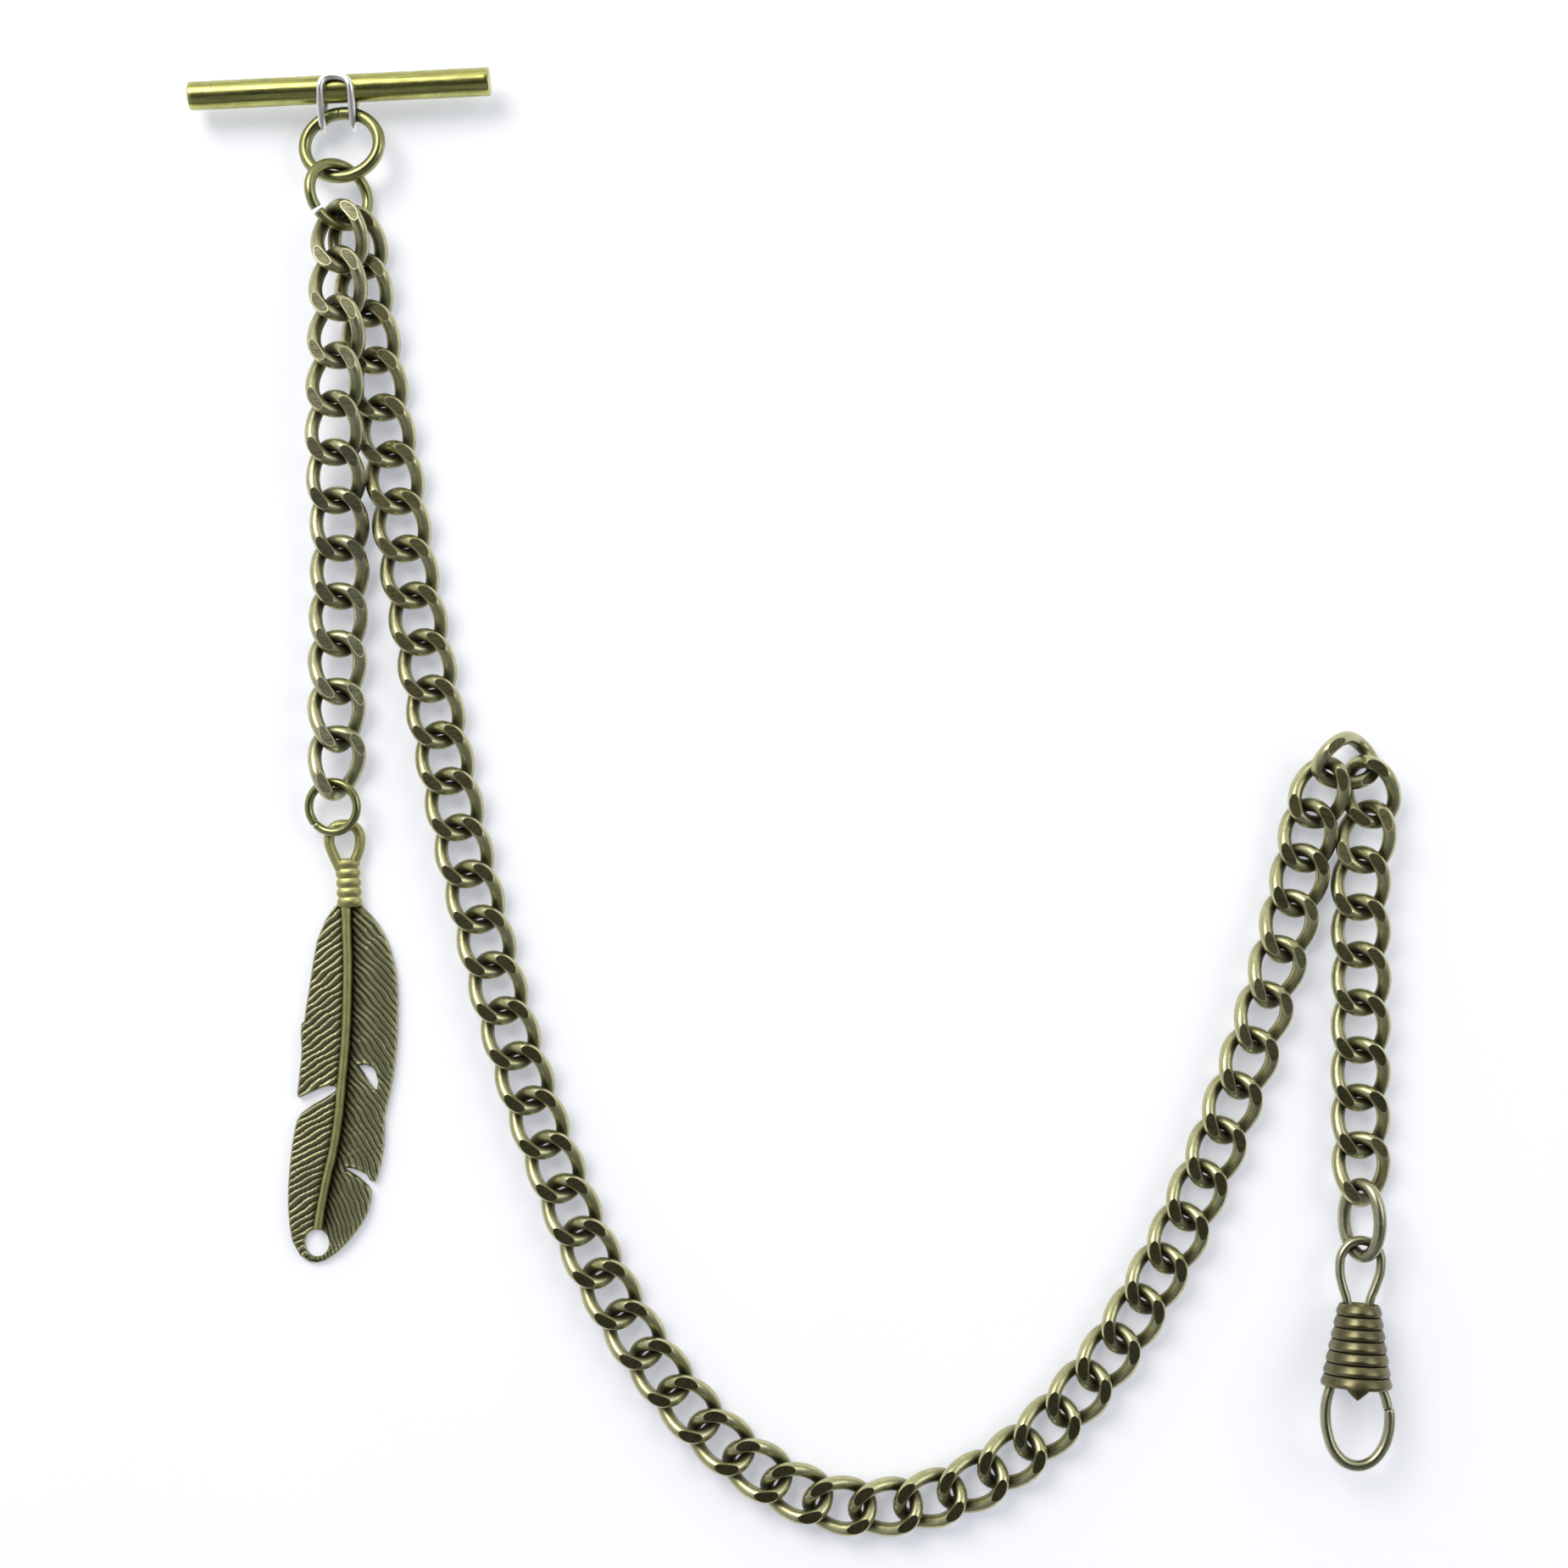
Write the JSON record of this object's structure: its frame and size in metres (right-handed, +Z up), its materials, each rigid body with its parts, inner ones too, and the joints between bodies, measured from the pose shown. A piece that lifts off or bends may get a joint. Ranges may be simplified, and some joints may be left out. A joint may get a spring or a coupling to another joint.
{
  "type": "pocket watch chain",
  "caption": "Curb-link pocket watch chain with a T-bar for a buttonhole, a short fob chain with a feather pendant, and a sleeve clasp that hooks a watch bow.",
  "frame": {"origin": "middle of the base of the laid-out chain: the centre of its bounding box in X and Y, at the height of the surface it lies on", "axes": "+Y up the length of the laid-out chain, from the hook end to the T-bar end; +Z up from the surface it lies on; +X from the T-bar side to the clasp side"},
  "size_m": [0.1428, 0.1732, 0.0082],
  "materials": {
    "antique_bronze": "antiqued brass plate, satin, dark in the recesses",
    "gold_bronze": "antiqued brass plate, polished, yellower",
    "silver_wire": "bright white-metal wire"
  },
  "bodies": {
    "bar": {"t_bar": "gold_bronze", "t_bar_bail": "silver_wire"},
    "clasp_hook": {"clasp_wire": "gold_bronze"},
    "clasp_gate": {"clasp_gate": "gold_bronze"},
    "clasp_sleeve": {"clasp_sleeve": "antique_bronze"},
    "bar_ring": {"bar_ring": "gold_bronze"},
    "chain_ring": {"chain_ring": "gold_bronze"},
    "fob_link_01": {"fob_link_01": "antique_bronze"},
    "fob_link_02": {"fob_link_02": "antique_bronze"},
    "fob_link_03": {"fob_link_03": "antique_bronze"},
    "fob_link_04": {"fob_link_04": "antique_bronze"},
    "fob_link_05": {"fob_link_05": "antique_bronze"},
    "fob_link_06": {"fob_link_06": "antique_bronze"},
    "fob_link_07": {"fob_link_07": "antique_bronze"},
    "fob_link_08": {"fob_link_08": "antique_bronze"},
    "fob_link_09": {"fob_link_09": "antique_bronze"},
    "fob_link_10": {"fob_link_10": "antique_bronze"},
    "fob_link_11": {"fob_link_11": "antique_bronze"},
    "fob_link_12": {"fob_link_12": "antique_bronze"},
    "main_link_01": {"main_link_01": "antique_bronze"},
    "main_link_02": {"main_link_02": "antique_bronze"},
    "main_links_03_04": {"main_links_03_04": "antique_bronze"},
    "main_links_05_06": {"main_links_05_06": "antique_bronze"},
    "main_links_07_08": {"main_links_07_08": "antique_bronze"},
    "main_links_09_10": {"main_links_09_10": "antique_bronze"},
    "main_links_11_12": {"main_links_11_12": "antique_bronze"},
    "main_links_13_14": {"main_links_13_14": "antique_bronze"},
    "main_links_15_16": {"main_links_15_16": "antique_bronze"},
    "main_links_17_18": {"main_links_17_18": "antique_bronze"},
    "main_links_19_20": {"main_links_19_20": "antique_bronze"},
    "main_links_21_22": {"main_links_21_22": "antique_bronze"},
    "main_links_23_24": {"main_links_23_24": "antique_bronze"},
    "main_links_25_26": {"main_links_25_26": "antique_bronze"},
    "main_links_27_28": {"main_links_27_28": "antique_bronze"},
    "main_links_29_30": {"main_links_29_30": "antique_bronze"},
    "main_links_31_32": {"main_links_31_32": "antique_bronze"},
    "main_links_33_34": {"main_links_33_34": "antique_bronze"},
    "main_links_35_36": {"main_links_35_36": "antique_bronze"},
    "main_links_37_38": {"main_links_37_38": "antique_bronze"},
    "main_links_39_40": {"main_links_39_40": "antique_bronze"},
    "main_links_41_42": {"main_links_41_42": "antique_bronze"},
    "main_links_43_44": {"main_links_43_44": "antique_bronze"},
    "main_links_45_46": {"main_links_45_46": "antique_bronze"},
    "main_links_47_48": {"main_links_47_48": "antique_bronze"},
    "main_links_49_50": {"main_links_49_50": "antique_bronze"},
    "main_link_51": {"main_link_51": "antique_bronze"},
    "main_link_52": {"main_link_52": "antique_bronze"},
    "main_link_53": {"main_link_53": "antique_bronze"},
    "main_link_54": {"main_link_54": "antique_bronze"},
    "main_link_55": {"main_link_55": "antique_bronze"},
    "main_link_56": {"main_link_56": "antique_bronze"},
    "main_link_57": {"main_link_57": "antique_bronze"},
    "main_link_58": {"main_link_58": "antique_bronze"},
    "main_link_59": {"main_link_59": "antique_bronze"},
    "main_link_60": {"main_link_60": "antique_bronze"},
    "main_link_61": {"main_link_61": "antique_bronze"},
    "feather_ring": {"feather_ring": "gold_bronze"},
    "feather": {"feather": "antique_bronze"},
    "oval_link": {"oval_link": "gold_bronze"}
  },
  "joints": [
    {"name": "bar_ring_lift", "type": "hinge", "parent": "bar", "child": "bar_ring", "pos_m": [-0.05341, 0.08141, 0.00251], "axis": [-1, 0, 0], "range_deg": [0, 20]},
    {"name": "chain_ring_swing", "type": "hinge", "parent": "bar_ring", "child": "chain_ring", "pos_m": [-0.05368, 0.07454, 0.00271], "axis": [0, 0, 1], "range_deg": [-8, 8]},
    {"name": "fob_swing_01", "type": "hinge", "parent": "chain_ring", "child": "fob_link_01", "pos_m": [-0.05495, 0.06865, 0.00357], "axis": [0, 0, 1], "range_deg": [-10, 0]},
    {"name": "fob_swing_02", "type": "hinge", "parent": "fob_link_01", "child": "fob_link_02", "pos_m": [-0.05507, 0.0642, 0.00463], "axis": [0, 0, -1], "range_deg": [0, 6.4]},
    {"name": "fob_swing_03", "type": "hinge", "parent": "fob_link_02", "child": "fob_link_03", "pos_m": [-0.05303, 0.05804, 0.00517], "axis": [0, 0, 1], "range_deg": [-10, 1.1]},
    {"name": "fob_swing_04", "type": "hinge", "parent": "fob_link_03", "child": "fob_link_04", "pos_m": [-0.05353, 0.05248, 0.00493], "axis": [0, 0, -1], "range_deg": [-1.1, 10]},
    {"name": "fob_swing_05", "type": "hinge", "parent": "fob_link_04", "child": "fob_link_05", "pos_m": [-0.05396, 0.04685, 0.00471], "axis": [0, 0, 1], "range_deg": [-10, 2.1]},
    {"name": "fob_swing_06", "type": "hinge", "parent": "fob_link_05", "child": "fob_link_06", "pos_m": [-0.0542, 0.04125, 0.00405], "axis": [0, 0, -1], "range_deg": [-3.2, 10]},
    {"name": "fob_swing_07", "type": "hinge", "parent": "fob_link_06", "child": "fob_link_07", "pos_m": [-0.05405, 0.03571, 0.00297], "axis": [0, 0, 1], "range_deg": [-10, 6.4]},
    {"name": "fob_swing_08", "type": "hinge", "parent": "fob_link_07", "child": "fob_link_08", "pos_m": [-0.05376, 0.03013, 0.00219], "axis": [0, 0, -1], "range_deg": [-7.4, 10]},
    {"name": "fob_swing_09", "type": "hinge", "parent": "fob_link_08", "child": "fob_link_09", "pos_m": [-0.05393, 0.02448, 0.00221], "axis": [0, 0, 1], "range_deg": [-10, 10]},
    {"name": "fob_swing_10", "type": "hinge", "parent": "fob_link_09", "child": "fob_link_10", "pos_m": [-0.05399, 0.01884, 0.00242], "axis": [0, 0, -1], "range_deg": [-10, 10]},
    {"name": "fob_swing_11", "type": "hinge", "parent": "fob_link_10", "child": "fob_link_11", "pos_m": [-0.05402, 0.0132, 0.00261], "axis": [0, 0, 1], "range_deg": [-10, 10]},
    {"name": "fob_swing_12", "type": "hinge", "parent": "fob_link_11", "child": "fob_link_12", "pos_m": [-0.054, 0.00756, 0.00258], "axis": [0, 0, -1], "range_deg": [-10, 10]},
    {"name": "feather_ring_swing", "type": "hinge", "parent": "fob_link_12", "child": "feather_ring", "pos_m": [-0.05441, 0.0018, 0.00251], "axis": [0, 0, 1], "range_deg": [-8.5, 12]},
    {"name": "feather_lift", "type": "hinge", "parent": "feather_ring", "child": "feather", "pos_m": [-0.05508, -0.00338, 0.00157], "axis": [-1, 0, 0], "range_deg": [0, 45]},
    {"name": "main_swing_01", "type": "hinge", "parent": "chain_ring", "child": "main_link_01", "pos_m": [-0.05253, 0.069, 0.00254], "axis": [0, 0, -1], "range_deg": [-10, 0]},
    {"name": "main_swing_02", "type": "hinge", "parent": "main_link_01", "child": "main_link_02", "pos_m": [-0.05123, 0.06349, 0.00169], "axis": [0, 0, 1], "range_deg": [0, 10]},
    {"name": "main_swing_03_04", "type": "hinge", "parent": "main_link_02", "child": "main_links_03_04", "pos_m": [-0.05123, 0.05781, 0.00177], "axis": [0, 0, -1], "range_deg": [-10, 1.1]},
    {"name": "main_swing_05_06", "type": "hinge", "parent": "main_links_03_04", "child": "main_links_05_06", "pos_m": [-0.04929, 0.04674, 0.00186], "axis": [0, 0, 1], "range_deg": [-2.1, 10]},
    {"name": "main_swing_07_08", "type": "hinge", "parent": "main_links_05_06", "child": "main_links_07_08", "pos_m": [-0.04694, 0.0357, 0.00185], "axis": [0, 0, -1], "range_deg": [-10, 6.4]},
    {"name": "main_swing_09_10", "type": "hinge", "parent": "main_links_07_08", "child": "main_links_09_10", "pos_m": [-0.04525, 0.02457, 0.00173], "axis": [0, 0, 1], "range_deg": [-10, 10]},
    {"name": "main_swing_11_12", "type": "hinge", "parent": "main_links_09_10", "child": "main_links_11_12", "pos_m": [-0.04316, 0.01353, 0.00178], "axis": [0, 0, -1], "range_deg": [-10, 10]},
    {"name": "main_swing_13_14", "type": "hinge", "parent": "main_links_11_12", "child": "main_links_13_14", "pos_m": [-0.04097, 0.00262, 0.00176], "axis": [0, 0, 1], "range_deg": [-10, 10]},
    {"name": "main_swing_15_16", "type": "hinge", "parent": "main_links_13_14", "child": "main_links_15_16", "pos_m": [-0.03872, -0.00834, 0.00173], "axis": [0, 0, -1], "range_deg": [-10, 10]},
    {"name": "main_swing_17_18", "type": "hinge", "parent": "main_links_15_16", "child": "main_links_17_18", "pos_m": [-0.03598, -0.0191, 0.00173], "axis": [0, 0, 1], "range_deg": [-10, 10]},
    {"name": "main_swing_19_20", "type": "hinge", "parent": "main_links_17_18", "child": "main_links_19_20", "pos_m": [-0.03305, -0.02985, 0.00168], "axis": [0, 0, -1], "range_deg": [-10, 10]},
    {"name": "main_swing_21_22", "type": "hinge", "parent": "main_links_19_20", "child": "main_links_21_22", "pos_m": [-0.02956, -0.04034, 0.00168], "axis": [0, 0, 1], "range_deg": [-10, 10]},
    {"name": "main_swing_23_24", "type": "hinge", "parent": "main_links_21_22", "child": "main_links_23_24", "pos_m": [-0.0257, -0.05065, 0.00168], "axis": [0, 0, -1], "range_deg": [-10, 10]},
    {"name": "main_swing_25_26", "type": "hinge", "parent": "main_links_23_24", "child": "main_links_25_26", "pos_m": [-0.0209, -0.06051, 0.00166], "axis": [0, 0, 1], "range_deg": [-10, 10]},
    {"name": "main_swing_27_28", "type": "hinge", "parent": "main_links_25_26", "child": "main_links_27_28", "pos_m": [-0.01488, -0.06971, 0.00173], "axis": [0, 0, -1], "range_deg": [-10, 10]},
    {"name": "main_swing_29_30", "type": "hinge", "parent": "main_links_27_28", "child": "main_links_29_30", "pos_m": [-0.00729, -0.07778, 0.0018], "axis": [0, 0, 1], "range_deg": [-10, 10]},
    {"name": "main_swing_31_32", "type": "hinge", "parent": "main_links_29_30", "child": "main_links_31_32", "pos_m": [0.00205, -0.08354, 0.00191], "axis": [0, 0, -1], "range_deg": [-10, 10]},
    {"name": "main_swing_33_34", "type": "hinge", "parent": "main_links_31_32", "child": "main_links_33_34", "pos_m": [0.01344, -0.08416, 0.00181], "axis": [0, 0, 1], "range_deg": [-10, 10]},
    {"name": "main_swing_35_36", "type": "hinge", "parent": "main_links_33_34", "child": "main_links_35_36", "pos_m": [0.02381, -0.07999, 0.0018], "axis": [0, 0, -1], "range_deg": [-10, 10]},
    {"name": "main_swing_37_38", "type": "hinge", "parent": "main_links_35_36", "child": "main_links_37_38", "pos_m": [0.032, -0.07245, 0.0018], "axis": [0, 0, 1], "range_deg": [-10, 10]},
    {"name": "main_swing_39_40", "type": "hinge", "parent": "main_links_37_38", "child": "main_links_39_40", "pos_m": [0.03889, -0.06373, 0.00178], "axis": [0, 0, -1], "range_deg": [-10, 10]},
    {"name": "main_swing_41_42", "type": "hinge", "parent": "main_links_39_40", "child": "main_links_41_42", "pos_m": [0.04424, -0.05413, 0.00188], "axis": [0, 0, 1], "range_deg": [-10, 10]},
    {"name": "main_swing_43_44", "type": "hinge", "parent": "main_links_41_42", "child": "main_links_43_44", "pos_m": [0.04886, -0.04406, 0.0019], "axis": [0, 0, -1], "range_deg": [-10, 10]},
    {"name": "main_swing_45_46", "type": "hinge", "parent": "main_links_43_44", "child": "main_links_45_46", "pos_m": [0.05256, -0.03344, 0.00198], "axis": [0, 0, 1], "range_deg": [-10, 10]},
    {"name": "main_swing_47_48", "type": "hinge", "parent": "main_links_45_46", "child": "main_links_47_48", "pos_m": [0.05605, -0.02271, 0.00207], "axis": [0, 0, -1], "range_deg": [-10, 10]},
    {"name": "main_swing_49_50", "type": "hinge", "parent": "main_links_47_48", "child": "main_links_49_50", "pos_m": [0.06031, -0.01218, 0.0017], "axis": [0, 0, 1], "range_deg": [-7.4, 10]},
    {"name": "main_swing_51", "type": "hinge", "parent": "main_links_49_50", "child": "main_link_51", "pos_m": [0.06305, -0.0016, 0.00268], "axis": [0, 0, -1], "range_deg": [-10, 4.2]},
    {"name": "main_swing_52", "type": "hinge", "parent": "main_link_51", "child": "main_link_52", "pos_m": [0.06445, 0.0021, 0.0033], "axis": [0, 0, 1], "range_deg": [-2.1, 10]},
    {"name": "main_swing_53", "type": "hinge", "parent": "main_link_52", "child": "main_link_53", "pos_m": [0.06524, 0.0021, 0.00178], "axis": [0, 0, -1], "range_deg": [-10, 2.1]},
    {"name": "main_swing_54", "type": "hinge", "parent": "main_link_53", "child": "main_link_54", "pos_m": [0.06614, -0.00093, 0.00152], "axis": [0, 0, 1], "range_deg": [-3.2, 10]},
    {"name": "main_swing_55", "type": "hinge", "parent": "main_link_54", "child": "main_link_55", "pos_m": [0.06602, -0.00658, 0.00194], "axis": [0, 0, -1], "range_deg": [-10, 10]},
    {"name": "main_swing_56", "type": "hinge", "parent": "main_link_55", "child": "main_link_56", "pos_m": [0.06634, -0.01229, 0.00191], "axis": [0, 0, 1], "range_deg": [-10, 10]},
    {"name": "main_swing_57", "type": "hinge", "parent": "main_link_56", "child": "main_link_57", "pos_m": [0.06657, -0.0179, 0.00208], "axis": [0, 0, -1], "range_deg": [-10, 10]},
    {"name": "main_swing_58", "type": "hinge", "parent": "main_link_57", "child": "main_link_58", "pos_m": [0.06697, -0.02353, 0.00224], "axis": [0, 0, 1], "range_deg": [-10, 10]},
    {"name": "main_swing_59", "type": "hinge", "parent": "main_link_58", "child": "main_link_59", "pos_m": [0.06658, -0.02915, 0.00202], "axis": [0, 0, -1], "range_deg": [-10, 10]},
    {"name": "main_swing_60", "type": "hinge", "parent": "main_link_59", "child": "main_link_60", "pos_m": [0.06834, -0.03472, 0.00196], "axis": [0, 0, 1], "range_deg": [-10, 5.3]},
    {"name": "main_swing_61", "type": "hinge", "parent": "main_link_60", "child": "main_link_61", "pos_m": [0.06546, -0.04043, 0.00179], "axis": [0, 0, -1], "range_deg": [-10, 6.4]},
    {"name": "oval_swing", "type": "hinge", "parent": "main_link_61", "child": "oval_link", "pos_m": [0.06592, -0.04609, 0.00226], "axis": [0, 0, 1], "range_deg": [-8.5, 7.6]},
    {"name": "clasp_lift", "type": "hinge", "parent": "oval_link", "child": "clasp_hook", "pos_m": [0.0668, -0.0519, 0.0019], "axis": [-1, 0, 0], "range_deg": [0, 35]},
    {"name": "clasp_sleeve_slide", "type": "slide", "parent": "clasp_hook", "child": "clasp_sleeve", "axis": [0.0573, 0.9945, -0.0872], "range_m": [0, 0.0012]},
    {"name": "clasp_gate_flex", "type": "hinge", "parent": "clasp_hook", "child": "clasp_gate", "pos_m": [0.06728, -0.06543, 0.00386], "axis": [0, 0.0872, 0.9962], "range_deg": [0, 12.1]}
  ],
  "couplings": [
    {"joint": "clasp_gate_flex", "follows": "clasp_sleeve_slide", "rad_per_m": 174.53}
  ]
}
